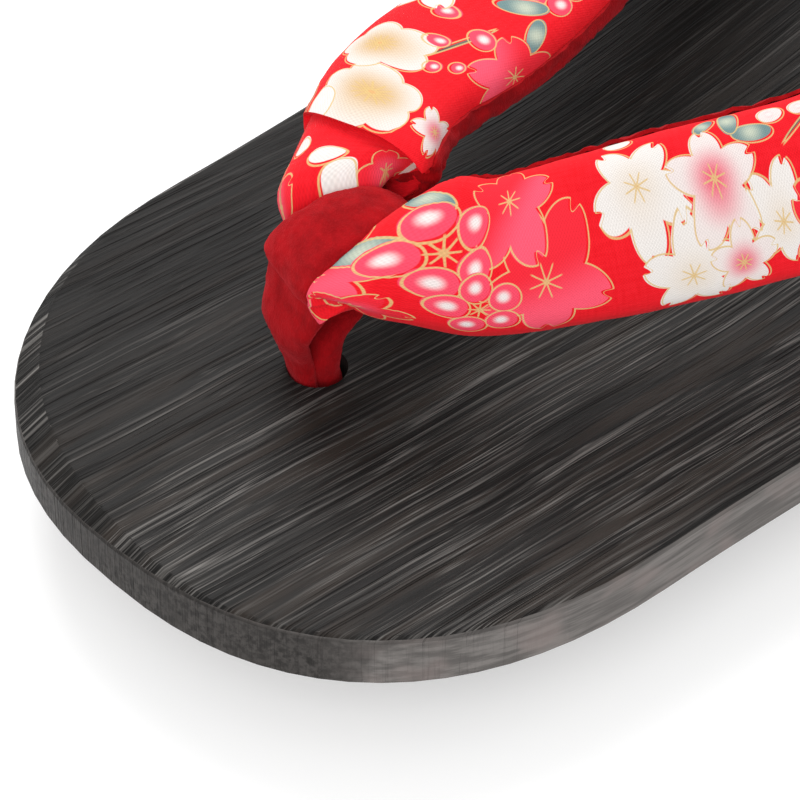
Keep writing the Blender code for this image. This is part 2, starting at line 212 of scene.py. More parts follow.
# Blossoms: how many petals, then each petal's reach from the middle, half length, half width and notch, as
# shares of the blossom's size. stamens is half the count of its rays, spot and outline are 0 or 1, and glow
# is how far the heart's colour runs; from GLOW_FROM_TOP on it runs down from the top instead.
GLOW_FROM_TOP = 1.6
KIND_COLUMNS = ("petals", "reach", "long", "wide", "notch", "stamens", "spot", "glow", "outline")
KINDS = {
    "plum": (5, 0.50, 0.46, 0.44, 0.00, 6.5, 0, 0.95, 1),
    "cherry": (5, 0.51, 0.50, 0.33, 0.50, 4, 0, 0.72, 1),
    "shaded": (5, 0.51, 0.50, 0.36, 0.50, 4, 0, 2.00, 1),
    "floret": (5, 0.62, 0.36, 0.36, 0.00, 4, 1, 0.30, 1),
    "bud": (1, 0.00, 1.00, 0.80, 0.00, 0, 1, 0.50, 1),
    "leaf": (1, 0.00, 1.00, 0.46, 0.00, 0, 0, 0.75, 1),
    "twig": (1, 0.00, 1.00, 0.055, 0.00, 0, 0, 0.90, 1),
    "slip": (1, 0.00, 1.00, 0.16, 0.00, 0, 0, 0.90, 0),
}

# Print colours, as petal and heart
INKS = {
    "white": ((0.70, 0.65, 0.61), (0.58, 0.37, 0.16)),
    "snow": ((0.71, 0.67, 0.64), (0.68, 0.60, 0.52)),
    "blush": ((0.71, 0.63, 0.61), (0.70, 0.10, 0.16)),
    "pink": ((0.80, 0.062, 0.115), (0.80, 0.14, 0.19)),
    "rose": ((0.76, 0.018, 0.034), (0.86, 0.085, 0.145)),
    "leaf": ((0.15, 0.235, 0.235), (0.46, 0.50, 0.40)),
    "bark": ((0.075, 0.062, 0.060), (0.15, 0.13, 0.11)),
}

# The pale spot of a floret, the cotton's brighter threads, and light on the velvet's pile
PETAL_SPOT = (0.74, 0.69, 0.67)
COTTON_BRIGHT = (0.76, 0.009, 0.018)
PILE_BRIGHT = (0.50, 0.014, 0.020)

# Each motif of the print: arm, mm along the arm from the waist, mm across from the ridge of the arm
# (positive to the outer edge), kind, ink, size in mm and turn in degrees. A layer covers those before it.
# The arm "tuck" is the inner arm's cloth between thong and fold, which shows another part of the print.
MOTIF_COLUMNS = ("arm", "along", "across", "kind", "ink", "size", "turn", "layer")
MOTIFS = (
    ("outer", 9.6, 3.4, "shaded", "rose", 6.0, 54, 0),
    ("outer", 14.6, -4.0, "leaf", "leaf", 2.5, -35, 1),
    ("outer", 12.6, 1.0, "leaf", "leaf", 2.7, 0, 1),
    ("outer", 12.8, 9.4, "cherry", "rose", 3.6, 20, 1),
    ("outer", 17.2, 1.0, "floret", "pink", 4.9, 18, 2),
    ("outer", 21.4, 6.6, "floret", "pink", 4.6, 0, 3),
    ("outer", 24.0, -3.6, "shaded", "rose", 6.4, 54, 1),
    ("outer", 28.4, 3.6, "shaded", "rose", 7.6, 18, 0),
    ("outer", 41.4, -2.6, "cherry", "snow", 6.2, 18, 0),
    ("outer", 40.6, -10.0, "bud", "snow", 1.8, 0, 1),
    ("outer", 45.6, 5.9, "cherry", "snow", 6.0, 54, 1),
    ("outer", 50.6, -1.6, "cherry", "blush", 5.9, 54, 2),
    ("outer", 51.8, 5.8, "cherry", "blush", 4.4, 54, 3),
    ("outer", 51.6, -8.6, "leaf", "leaf", 2.0, 40, 0),
    ("outer", 55.0, -8.6, "leaf", "leaf", 2.8, 78, 1),
    ("outer", 57.2, -5.6, "leaf", "leaf", 2.8, -8, 0),
    ("outer", 57.8, 2.6, "cherry", "snow", 5.0, 30, 0),
    ("outer", 60.6, -7.6, "bud", "blush", 1.8, 0, 2),
    ("outer", 64.4, -5.4, "twig", "bark", 4.0, 30, 1),
    ("outer", 64.8, -7.4, "bud", "blush", 1.6, 0, 3),
    ("outer", 64.2, 4.6, "shaded", "rose", 6.0, 30, 1),
    ("tuck", 10.2, -6.0, "cherry", "rose", 4.4, 30, 0),
    ("tuck", 10.0, 7.4, "cherry", "rose", 4.0, 0, 1),
    ("tuck", 14.6, 7.6, "twig", "bark", 5.0, 12, 2),
    ("tuck", 15.6, 5.4, "bud", "snow", 1.5, 30, 3),
    ("tuck", 13.2, 1.2, "bud", "snow", 1.6, 60, 1),
    ("tuck", 10.4, -0.8, "bud", "snow", 1.7, 10, 3),
    ("tuck", 13.4, -9.0, "slip", "snow", 3.4, 12, 1),
    ("inner", 20.8, 4.8, "bud", "snow", 2.1, 30, 2),
    ("inner", 20.2, 7.4, "twig", "bark", 3.6, 12, 3),
    ("inner", 23.2, 0.0, "plum", "white", 5.9, 10, 0),
    ("inner", 22.6, -9.2, "cherry", "blush", 4.2, 40, 1),
    ("inner", 32.4, 2.8, "plum", "white", 5.4, 30, 1),
    ("inner", 38.2, -2.4, "twig", "bark", 4.8, -12, 0),
    ("inner", 32.0, -2.8, "bud", "pink", 1.1, 0, 2),
    ("inner", 34.0, -4.8, "bud", "pink", 1.1, 0, 3),
    ("inner", 36.6, -0.8, "bud", "pink", 1.2, 0, 2),
    ("inner", 40.4, -3.4, "bud", "pink", 1.9, 40, 3),
    ("inner", 42.4, 1.0, "bud", "pink", 1.4, 0, 2),
    ("inner", 39.6, -11.0, "shaded", "rose", 7.2, 60, 1),
    ("inner", 46.2, -7.4, "leaf", "leaf", 3.0, 30, 0),
    ("inner", 49.0, -3.4, "leaf", "leaf", 3.0, -50, 2),
    ("inner", 46.8, 5.4, "cherry", "snow", 5.8, 5, 3),
    ("inner", 54.6, -3.6, "floret", "pink", 5.0, 20, 1),
    ("inner", 57.6, 5.2, "shaded", "rose", 6.6, 33, 2),
)

# Where the inner arm is folded, in mm along it from the waist: at its ridge, and per mm across
FOLD_AT = 18.4
FOLD_SLANT = 0.245
FOLD_DEPTH = 0.00105
FOLD_LAP = 0.0008
FOLD_EASE = 0.0100
# The shares of the fold's depth that the upper cloth stands up and the lower cloth sinks
FOLD_UP = 0.35
FOLD_DOWN = 0.65
# Here and below, a fade is where it starts and how far it runs, in metres. These run from the fold.
FOLD_UP_FADE = (0.0005, 0.0090)
FOLD_DOWN_FADE = (0.0010, 0.0070)
FOLD_LAP_FADE = (0.0, 0.0030)
# The cloth further than this from the waist's middle belongs to an arm
ARM_START = 0.0050
# How far along the cloth the tuck's part of the print lies
TUCK_SHIFT = 0.200

# How far the outer arm's padded end laps over the thong, and how far each arm's outer corner is drawn in
OUTER_LAP = 0.0048
OUTER_DRAW = 0.0024
INNER_DRAW = 0.0015

# Where the lap fades: round the section and across it from the arm's ridge, and along from the waist
LAP_ROUND = (0.014, 0.0070)
LAP_ACROSS = (0.0065, 0.0055)
LAP_START = (0.0050, 0.0034)
LAP_END = (0.0100, 0.0100)
DRAW_ACROSS = (0.0020, 0.0070)
DRAW_START = (0.0040, 0.0030)
DRAW_END = (0.0070, 0.0090)

# Soft swells and ruffles of the cloth: the size of their features and their height in mm, and their seed
STRAP_SWELLS = ((9, 0.22, 3), (3.2, 0.07, 5))
LINING_SWELLS = ((1.5, 0.40, 21), (0.6, 0.22, 23))
THONG_SWELLS = ((3.5, 0.34, 7), (1.1, 0.13, 9), (0.32, 0.07, 11))

# How far the gold outlines are printed beside the petals, in mm
PRINT_SLIP = 0.22

# The print repeats along the cloth: motifs past a distance along the arm are laid again, one repeat on
PRINT_REPEAT = 44.0
REPEAT_FROM = 21.0
REPEAT_TO = 112.0


def table(columns, rows):
    """Each row as a dictionary from column name to value."""
    return [dict(zip(columns, row)) for row in rows]


def all_motifs():
    """The motifs of the table, and their repeats towards the heel."""
    found = table(MOTIF_COLUMNS, MOTIFS)
    for row in table(MOTIF_COLUMNS, MOTIFS):
        along = row["along"] + PRINT_REPEAT
        while row["arm"] != "tuck" and row["along"] >= REPEAT_FROM and along < REPEAT_TO:
            found.append({**row, "along": along})
            along += PRINT_REPEAT
    return found


def blend(share):
    """A smooth step from 0 to 1, for numbers and arrays."""
    share = np.clip(share, 0.0, 1.0)
    return share * share * (3 - 2 * share)


def grown(place, fade):
    """0 up to where a fade starts, and 1 past its run."""
    start, run = fade
    return blend((place - start) / run)


def top_height(from_toe):
    return BALL_HEIGHT + HEEL_RISE * blend((from_toe - RISE_START) / RISE_LENGTH)


def deselect():
    """Nothing selected, so that an operator acts on its own piece alone."""
    if bpy.context.object and bpy.context.object.mode != "OBJECT":
        bpy.ops.object.mode_set(mode="OBJECT")
    bpy.ops.object.select_all(action="DESELECT")


def select_only(piece):
    deselect()
    piece.select_set(True)
    bpy.context.view_layer.objects.active = piece


def node_copy(name, node):
    """A merged copy of a CAD node's mesh, as a piece of its own."""
    piece = bpy.data.objects.new(name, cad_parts[node].data.copy())
    bpy.context.scene.collection.objects.link(piece)
    select_only(piece)
    bpy.ops.object.mode_set(mode="EDIT")
    bpy.ops.mesh.select_all(action="SELECT")
    bpy.ops.mesh.remove_doubles(threshold=mm(0.002))
    bpy.ops.object.mode_set(mode="OBJECT")
    return piece


def finish_piece(piece, finish, slot, *nodes):
    """Gives a piece its material and body, and lets it stand for its nodes. Its slot argument is not used.
    """
    piece.data.materials.clear()
    piece.data.materials.append(finish)
    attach(piece, "root")
    if nodes:
        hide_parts(*nodes)
    return piece


def read_all(items, name, kind=float, wide=1):
    """One property of all of a mesh's vertices, corners or faces."""
    found = np.empty(len(items) * wide, kind)
    items.foreach_get(name, found)
    return found.reshape(-1, wide) if wide > 1 else found


def points_of(mesh):
    return read_all(mesh.vertices, "co", wide=3)


def normals_of(mesh):
    return read_all(mesh.vertices, "normal", wide=3)


def cloth_of(mesh):
    """Each corner's place on the cloth."""
    return read_all(mesh.uv_layers["cloth"].data, "uv", np.float32, 2)


def face_corners(mesh):
    """Where each face's corners start, and how many it has."""
    return read_all(mesh.polygons, "loop_start", int), read_all(mesh.polygons, "loop_total", int)


def put_points(mesh, points):
    mesh.vertices.foreach_set("co", np.asarray(points, np.float64).ravel())
    mesh.update()


def rough(points, scale, seed):
    """Smooth noise from -1 to 1 at each point, with features of the given size."""
    shift = Vector((seed * 17.3, seed * 9.1, seed * 5.7))
    return np.array([noise.noise(Vector(point) / scale + shift) for point in points])


def swollen(mesh, swells):
    """The mesh's points, moved out and in by noise of several sizes."""
    points = points_of(mesh)
    rise = sum(rough(points, mm(size), seed) * mm(height) for size, height, seed in swells)
    return points + normals_of(mesh) * rise[:, None]


class Wiring:
    """A material and the few moves that wire its nodes."""

    @staticmethod
    def scaled(colour, share):
        return tuple(part * share for part in colour)

    def __init__(self, name, roughness):
        self.material = bpy.data.materials.new(name)
        self.material.use_nodes = True
        self.nodes = self.material.node_tree.nodes
        self.links = self.material.node_tree.links
        self.shader = self.nodes["Principled BSDF"]
        self.shader.inputs["Roughness"].default_value = roughness

    def put(self, socket, value):
        if isinstance(value, bpy.types.NodeSocket):
            self.links.new(value, socket)
        elif value is not None:
            socket.default_value = value

    def set(self, name, value):
        self.put(self.shader.inputs[name], value)

    def add(self, kind, values=(), out=0, **settings):
        node = self.nodes.new(kind)
        for key, value in settings.items():
            setattr(node, key, value)
        for socket, value in zip(node.inputs, values):
            self.put(socket, value)
        return node.outputs[out]

    def place(self):
        """Object coordinates in millimetres."""
        spot = self.add("ShaderNodeTexCoord", out=3)
        return self.vector("MULTIPLY", spot, (1000, 1000, 1000))

    def uv(self, name):
        return self.add("ShaderNodeUVMap", uv_map=name)

    def stored(self, name, out=0):
        """A stored attribute: out 0 is its colour, 2 its number and 3 its alpha."""
        return self.add("ShaderNodeAttribute", attribute_name=name, out=out)

    def vector(self, operation, first, second=(0, 0, 0)):
        out = 1 if operation in ("LENGTH", "DOT_PRODUCT", "DISTANCE") else 0
        return self.add("ShaderNodeVectorMath", (first, second), out, operation=operation)

    def split(self, value):
        node = self.nodes.new("ShaderNodeSeparateXYZ")
        self.put(node.inputs[0], value)
        return node.outputs

    def join(self, x=0.0, y=0.0, z=0.0):
        return self.add("ShaderNodeCombineXYZ", (x, y, z))

    def math(self, operation, first, second=0.0, third=0.0, clamp=False):
        values = (first, second, third)
        return self.add("ShaderNodeMath", values, operation=operation, use_clamp=clamp)

    def times(self, first, second):
        return self.math("MULTIPLY", first, second)

    def step(self, value, low, high, to_low=0.0, to_high=1.0):
        """A smooth step of value between low and high."""
        values = (value, low, high, to_low, to_high)
        return self.add("ShaderNodeMapRange", values, interpolation_type="SMOOTHSTEP")

    def lerp(self, share, first, second):
        """A number between two others."""
        return self.math("MULTIPLY_ADD", share, self.math("SUBTRACT", second, first), first)

    def noise(self, spot, scale, detail=2.0, roughness=0.5):
        values = (spot, None, scale, detail, roughness)
        return self.add("ShaderNodeTexNoise", values)

    def mix(self, share, first, second, way="MIX"):
        node = self.nodes.new("ShaderNodeMix")
        node.data_type = "RGBA"
        node.blend_type = way
        self.put(node.inputs[0], share)
        self.put(node.inputs[6], rgba(first))
        self.put(node.inputs[7], rgba(second))
        return node.outputs[2]

    def bump(self, height, distance, strength=1.0, below=None):
        """A bump whose height of 1 stands for distance in metres."""
        node = self.nodes.new("ShaderNodeBump")
        self.put(node.inputs["Strength"], strength)
        self.put(node.inputs["Distance"], distance)
        self.put(node.inputs["Height"], height)
        if below is not None:
            self.put(node.inputs["Normal"], below)
        return node.outputs[0]


def rgba(colour):
    """A colour with its alpha, or the socket that it comes from."""
    return colour if isinstance(colour, bpy.types.NodeSocket) else (*tuple(colour)[:3], 1.0)


class GetaBoardSettings(bpy.types.PropertyGroup):
    """Sizes and colours of the brushed board."""

    ridge_gap: bpy.props.FloatProperty(
        name="Ridge Gap", description="Usual gap between grain ridges", default=mm(1.0), unit="LENGTH"
    )
    ridge_height: bpy.props.FloatProperty(
        name="Ridge Height", description="How far grain ridges stand proud", default=mm(0.13), unit="LENGTH"
    )
    strip: bpy.props.FloatProperty(
        name="Strip", description="Width of the facets across the grain", default=mm(0.36), unit="LENGTH"
    )
    stain: bpy.props.FloatVectorProperty(
        name="Stain", description="Black stain", default=(0.0078, 0.0073, 0.0070), subtype="COLOR"
    )
    # The ridges' pale colour is partly rubbed wood and partly a painted highlight
    rubbed_and_highlight: bpy.props.FloatVectorProperty(
        name="Rubbed", description="Pale wood on the ridges", default=(0.26, 0.245, 0.23), subtype="COLOR"
    )
    brown: bpy.props.FloatVectorProperty(
        name="Brown", description="Thin stain by the ridges", default=(0.034, 0.026, 0.021), subtype="COLOR"
    )
    # The rim's paler colour is partly a thinner stain and partly painted light
    side: bpy.props.FloatVectorProperty(
        name="Side", description="Thinner stain on the rim", default=(0.17, 0.157, 0.149), subtype="COLOR"
    )
    end_grain: bpy.props.FloatVectorProperty(
        name="End Grain",
        description="Stained end grain of toe and heel",
        default=(0.056, 0.051, 0.048),
        subtype="COLOR",
    )


class GetaStrapSettings(bpy.types.PropertyGroup):
    """Sizes and colours of the printed strap."""

    thread: bpy.props.FloatProperty(
        name="Thread", description="Pitch of the cotton's threads", default=mm(0.38), unit="LENGTH"
    )
    cotton: bpy.props.FloatVectorProperty(
        name="Cotton", description="Ground of the print", default=(0.70, 0.005, 0.012), subtype="COLOR"
    )
    gold: bpy.props.FloatVectorProperty(
        name="Gold", description="Outlines and stamens", default=(0.62, 0.43, 0.18), subtype="COLOR"
    )


class GetaThongSettings(bpy.types.PropertyGroup):
    """Colours of the velvet thong and the strap's lining."""

    velvet: bpy.props.FloatVectorProperty(
        name="Velvet", description="Colour of the pile", default=(0.36, 0.004, 0.007), subtype="COLOR"
    )


def wood_grain(w, x, y, z):
    """How far a point is across the grain in mm, noise that follows the grain, and its broken lines."""
    lean = w.math("MULTIPLY_ADD", x, -GRAIN_FAN / 1000, GRAIN_LEAN)
    across = w.math("SUBTRACT", x, w.times(lean, w.math("ADD", y, GRAIN_MIDDLE * 1000)))
    wander = w.noise(w.join(w.times(x, 0.05), w.times(y, 0.020), 0.0), 1.0)
    across = w.math("MULTIPLY_ADD", wander, GRAIN_WANDER, across)
    depth = w.times(z, GRAIN_DEPTH)

    def grain(pitch, run, detail=2.0, shift=0.0):
        """Noise that is fine across the grain and long along it."""
        spot = w.join(across, w.math("MULTIPLY_ADD", y, run, shift), depth)
        return w.noise(spot, pitch, detail, 0.55)

    def lines(name):
        """Thin lines where a noise crosses its middle, broken up by a second noise."""
        row = dict(zip(LINE_COLUMNS, LINES[name]))
        middle = w.math("SUBTRACT", grain(row["pitch"], row["run"], 1.0, row["shift"]), 0.5)
        line = w.step(w.math("ABSOLUTE", middle), 0.0, row["width"], 1.0, 0.0)
        breaks = grain(row["breaks"], row["breaks_run"], 2.0, row["breaks_shift"])
        return w.times(line, w.step(breaks, row["faded"], row["full"]))

    return across, grain, lines


def even_ridges(w, across, grain):
    """Evenly spaced ridges that bend and fade with the grain."""
    turn = w.times(across, 2 * math.pi / (EVEN_PITCH * 1000))
    phase = w.math("MULTIPLY_ADD", grain(0.30, 0.010, 2.0, 21.0), EVEN_BEND, turn)
    ridge = w.step(w.math("SINE", phase), 0.20, 1.0)
    return w.times(ridge, w.step(grain(0.9, 0.022, 2.0, 23.0), 0.40, 0.64))


def rim_wood(w, settings, x, y, z, spot, ny):
    """The rim: streaked on the long sides, speckled end grain at toe and heel, with one fine crack."""
    streak = w.noise(w.join(w.times(x, 0.3), w.times(y, 0.05), z), 1.3, 4.0, 0.6)
    blotch = w.noise(w.vector("MULTIPLY", spot, (0.11, 0.11, 0.16)), 1.0, 2.0)
    side = w.mix(w.step(streak, 0.34, 0.66), w.scaled(settings.side, 0.55), settings.side)
    side = w.mix(w.step(blotch, 0.46, 0.66, 0.0, 0.5), side, RIM_BLUSH)
    speck = w.noise(spot, 1.1, 4.0, 0.65)
    fleck = w.noise(w.vector("MULTIPLY", spot, (0.9, 0.9, 0.45)), 0.8, 2.0)
    end = w.mix(w.step(speck, 0.38, 0.62), w.scaled(settings.end_grain, 0.40), settings.end_grain)
    end = w.mix(w.step(blotch, 0.40, 0.60, 0.0, 0.45), end, w.scaled(settings.end_grain, 0.70))
    end = w.mix(w.step(fleck, 0.64, 0.74, 0.0, 0.85), end, PORE_AND_EDGE_SHADE)
    crack = w.step(w.math("ABSOLUTE", w.math("SUBTRACT", x, CRACK_AT * 1000)), 0.08, 0.22, 0.7, 0.0)
    end = w.mix(w.times(crack, w.step(y, -60.0, -59.0, 1.0, 0.0)), end, CRACK)
    return w.mix(w.step(w.math("ABSOLUTE", ny), 0.50, 0.86), side, end), speck


def black_wood(settings):
    """Stained, brushed paulownia: pale ridges over black hollows, a paler rim and speckled end grain."""
    w = Wiring("black_wood", 0.5)
    spot = w.place()
    x, y, z = w.split(spot)
    nz = w.split(w.add("ShaderNodeNewGeometry", out=3))[2]
    ny = w.split(w.add("ShaderNodeNewGeometry", out=1))[1]
    across, grain, broken = wood_grain(w, x, y, z)

    # Painted light: the lines are painted brighter on the near, outer side than on the big toe's side, and
    # dimmer again towards the heel's rise
    near = w.step(across, -30.0, 6.0, 0.22, 1.0)
    near = w.times(near, w.step(y, -20.0, 10.0, 1.0, 0.55))
    band = w.step(grain(0.13, 0.16), 0.34, 0.60, 0.25, 1.0)
    fibre = grain(2.6, 0.010, 4.0)
    fine = grain(7.0, 0.012, 2.0, 9.0)
    lines = w.math("MAXIMUM", broken("fine"), w.times(broken("finer"), 0.7))
    lines = w.times(lines, 0.62)
    lines = w.math("MAXIMUM", lines, w.times(even_ridges(w, across, grain), 0.50))
    lines = w.math("MAXIMUM", lines, w.times(w.stored("ridge", 2), 0.14))
    grooves = broken("groove")
    bright = w.times(w.times(lines, band), near)
    bright = w.times(bright, w.step(fine, 0.30, 0.62, 0.40, 1.0))
    # Painted sheen: a faint pale haze along the fibres, stronger on the painted lit side
    sheen_veil = w.step(fibre, 0.48, 0.76, 0.00, 0.050)
    sheen_veil = w.times(sheen_veil, w.math("MULTIPLY_ADD", near, 0.6, 0.3))
    bright = w.math("ADD", bright, sheen_veil)

    # Painted highlights: streaks on the shaved edge, strongest at the big toe's side
    shaved = w.times(w.step(nz, 0.60, 0.85), w.step(nz, 0.93, 0.97, 1.0, 0.0))
    streak = w.times(shaved, w.step(grain(1.9, 0.012, 3.0, 17.0), 0.50, 0.66))
    big_toe = w.times(w.step(x, -30.0, -12.0, 1.0, 0.10), 0.55)
    bright = w.math("ADD", bright, w.times(streak, big_toe))
    top = w.mix(bright, settings.stain, settings.rubbed_and_highlight)
    # A thin brown stain by the grain, laid by the painted lit side's mask and kept off the bright lines
    tint = w.step(grain(0.35, 0.08, 3.0, 19.0), 0.46, 0.66)
    tint = w.times(tint, w.times(near, 0.55))
    top = w.mix(w.times(tint, w.step(bright, 0.1, 0.5, 1.0, 0.0)), top, settings.brown)
    top = w.mix(w.times(grooves, 0.75), top, HOLLOW)

    rim, speck = rim_wood(w, settings, x, y, z, spot, ny)
    colour = w.mix(w.step(nz, 0.35, 0.62), rim, top)
    # Painted shade: the rounded edge between top and rim is darkened towards the pores' colour
    edge = w.times(w.step(nz, 0.30, 0.50), w.step(nz, 0.84, 0.90, 1.0, 0.0))
    colour = w.mix(w.times(edge, 0.8), colour, PORE_AND_EDGE_SHADE)
    w.set("Base Color", colour)
    w.set("Roughness", w.step(bright, 0.0, 1.0, 0.48, 0.60))
    w.set("Specular IOR Level", 0.09)
    brushed = w.math("ADD", w.times(fibre, 0.6), w.times(fine, 0.25))
    brushed = w.math("ADD", brushed, w.times(lines, 0.7))
    brushed = w.math("SUBTRACT", brushed, w.times(grooves, 0.8))
    w.set("Normal", w.bump(brushed, mm(0.18), 0.9, w.bump(speck, mm(0.05), 0.4)))
    return w.material


def petal_group():
    """A node group: how far a point is from a blossom's petals, 1 at their edge, with radius and angle."""
    group = bpy.data.node_groups.new("petal_edge", "ShaderNodeTree")
    face = group.interface
    for name in ("Spot", "Shape"):
        face.new_socket(name, in_out="INPUT", socket_type="NodeSocketVector")
    for name in ("Notch", "Petals"):
        face.new_socket(name, in_out="INPUT", socket_type="NodeSocketFloat")
    for name in ("Edge", "Slope", "Radius", "Angle"):
        face.new_socket(name, in_out="OUTPUT", socket_type="NodeSocketFloat")
    w = Wiring.__new__(Wiring)
    w.nodes = group.nodes
    w.links = group.links
    given = group.nodes.new("NodeGroupInput").outputs
    found = group.nodes.new("NodeGroupOutput").inputs
    x, y, _ = w.split(given["Spot"])
    reach, long, wide = w.split(given["Shape"])
    radius = w.vector("LENGTH", w.join(x, y))
    angle = w.math("ARCTAN2", y, x)
    half = w.math("DIVIDE", math.pi, given["Petals"])
    folded = w.math("WRAP", angle, half, w.times(half, -1.0))
    out = w.math("SUBTRACT", w.times(radius, w.math("COSINE", folded)), reach)
    aside = w.times(radius, w.math("SINE", folded))
    aside = w.math("DIVIDE", aside, wide)
    edge = w.vector("LENGTH", w.join(w.math("DIVIDE", out, long), aside))
    slope = w.join(w.math("DIVIDE", out, w.times(long, long)), w.math("DIVIDE", aside, wide))
    slope = w.vector("LENGTH", slope)
    w.put(found["Slope"], w.math("DIVIDE", slope, edge))
    dip = w.step(w.math("ABSOLUTE", aside), 0.0, 0.26, 1.0, 0.0)
    dip = w.times(dip, w.step(w.math("DIVIDE", out, long), 0.2, 1.0))
    edge = w.math("MULTIPLY_ADD", dip, given["Notch"], edge)
    w.put(found["Edge"], edge)
    w.put(found["Radius"], radius)
    w.put(found["Angle"], angle)
    return group


def print_layer(w, group, colour, layer, gold):
    """Lays one layer of motifs over a colour, from the attributes that stamp() stored."""
    def petal(spot):
        node = w.nodes.new("ShaderNodeGroup")
        node.node_tree = group
        w.put(node.inputs["Spot"], spot)
        w.put(node.inputs["Shape"], w.stored(f"shape_{layer}"))
        w.put(node.inputs["Notch"], w.stored(f"shape_{layer}", 3))
        w.put(node.inputs["Petals"], w.split(w.stored(f"marks_{layer}"))[0])
        return node.outputs

    spot = w.uv(f"motif_{layer}")
    edge, slope, radius, angle = petal(spot)
    _, stamens, size = w.split(w.stored(f"marks_{layer}"))
    outline_on = w.stored(f"marks_{layer}", 3)
    spot_on = w.stored(f"petal_{layer}", 3)
    glow = w.stored(f"heart_{layer}", 3)

    def millimetres(edge, slope):
        """How far outside the petals' edge a point is."""
        return w.math("DIVIDE", w.times(w.math("SUBTRACT", edge, 1.0), size), slope)

    fill = w.step(millimetres(edge, slope), -0.06, 0.04, 1.0, 0.0)
    heart = w.step(w.math("DIVIDE", radius, glow), 0.0, 1.0, 1.0, 0.0)
    downward = w.step(w.split(spot)[1], -0.25, 0.55)
    heart = w.lerp(w.step(glow, GLOW_FROM_TOP - 0.2, GLOW_FROM_TOP), heart, downward)
    inside = w.mix(heart, w.stored(f"petal_{layer}"), w.stored(f"heart_{layer}"))
    dot = w.times(w.step(edge, 0.12, 0.62, 0.95, 0.0), spot_on)
    inside = w.mix(dot, inside, PETAL_SPOT)
    colour = w.mix(fill, colour, inside)
    shift = w.math("DIVIDE", PRINT_SLIP, size)
    shifted = petal(w.vector("ADD", spot, w.join(shift, w.times(shift, -0.8))))
    ring = w.math("ABSOLUTE", w.math("SUBTRACT", millimetres(shifted[0], shifted[1]), 0.05))
    line = w.times(w.step(ring, 0.05, 0.13, 1.0, 0.0), outline_on)
    ray = w.math("ABSOLUTE", w.math("SINE", w.times(angle, stamens)))
    ray = w.times(w.times(ray, radius), size)
    ray = w.step(w.math("DIVIDE", ray, w.math("MAXIMUM", stamens, 1.0)), 0.05, 0.12, 1.0, 0.0)
    reach = w.math("MULTIPLY_ADD", stamens, 0.035, 0.14)
    ray = w.times(ray, w.step(w.math("DIVIDE", radius, reach), 0.8, 1.0, 1.0, 0.0))
    line = w.math("MAXIMUM", line, w.times(ray, w.math("MINIMUM", stamens, 1.0)))
    return w.mix(w.times(line, 0.85), colour, gold)


def print_cotton(settings):
    """Red plain-weave cotton with the printed motifs."""
    w = Wiring("print_cotton", 0.85)
    cloth = w.uv("cloth")
    along, across, _ = w.split(w.vector("MULTIPLY", cloth, (1000, 1000, 1000)))
    turn = 2 * math.pi / (settings.thread * 1000)
    warp = w.math("SINE", w.times(along, turn))
    weft = w.math("SINE", w.times(across, turn))
    weave = w.math("MULTIPLY_ADD", w.times(warp, weft), 0.5, 0.5)
    slub = w.noise(w.join(w.times(along, 2.4), w.times(across, 0.25)), 1.0, 2.0)
    slub2 = w.noise(w.join(w.times(along, 0.25), w.times(across, 2.4)), 1.0, 2.0)
    thread = w.math("ADD", w.times(slub, 0.5), w.times(slub2, 0.5))
    colour = w.mix(w.step(thread, 0.35, 0.65), settings.cotton, COTTON_BRIGHT)
    group = petal_group()
    for layer in range(1 + max(row["layer"] for row in table(MOTIF_COLUMNS, MOTIFS))):
        colour = print_layer(w, group, colour, layer, settings.gold)
    shade = w.math("MULTIPLY_ADD", weave, 0.16, 0.88)
    colour = w.mix(1.0, colour, w.join(shade, shade, shade), "MULTIPLY")
    w.set("Base Color", colour)
    w.set("Sheen Weight", 0.03)
    w.set("Sheen Roughness", 0.5)
    w.set("Specular IOR Level", 0.12)
    height = w.math("ADD", weave, thread)
    w.set("Normal", w.bump(height, mm(0.06), 0.7))
    return w.material


def crimson_velvet(settings):
    """Short crimson pile that catches light at its edges."""
    w = Wiring("crimson_velvet", 0.95)
    spot = w.place()
    lying = w.vector("ADD", w.vector("MULTIPLY", spot, (2.6, 2.6, 0.55)), w.noise(spot, 0.5, 2.0))
    pile = w.noise(lying, 1.7, 3.0, 0.7)
    nap = w.noise(spot, 0.35, 3.0, 0.6)
    colour = w.mix(w.step(nap, 0.30, 0.66), w.scaled(settings.velvet, 0.68), settings.velvet)
    colour = w.mix(w.step(pile, 0.45, 0.75, 0.0, 0.30), colour, PILE_BRIGHT)
    w.set("Base Color", colour)
    w.set("Sheen Weight", 0.40)
    w.set("Sheen Roughness", 0.4)
    w.set("Sheen Tint", (1.0, 0.10, 0.12, 1.0))
    w.set("Specular IOR Level", 0.08)
    w.set("Normal", w.bump(pile, mm(0.25), 0.7))
    return w.material


def tread_rubber():
    """Matt black rubber with a fine stipple and cross ribs."""
    w = Wiring("tread_rubber", 0.78)
    spot = w.place()
    rib = w.math("SINE", w.times(w.split(spot)[1], 2 * math.pi / (RIB_PITCH * 1000)))
    rib = w.step(rib, -0.5, 0.3)
    stipple = w.noise(spot, 2.2, 3.0, 0.6)
    colour = w.mix(stipple, (0.016, 0.016, 0.017), (0.034, 0.034, 0.035))
    # Painted shade: the grooves between the ribs are darkened to near black
    w.set("Base Color", w.mix(rib, (0.008, 0.008, 0.009), colour))
    w.set("Normal", w.bump(rib, mm(0.5), 1.0, w.bump(stipple, mm(0.12), 0.6)))
    return w.material


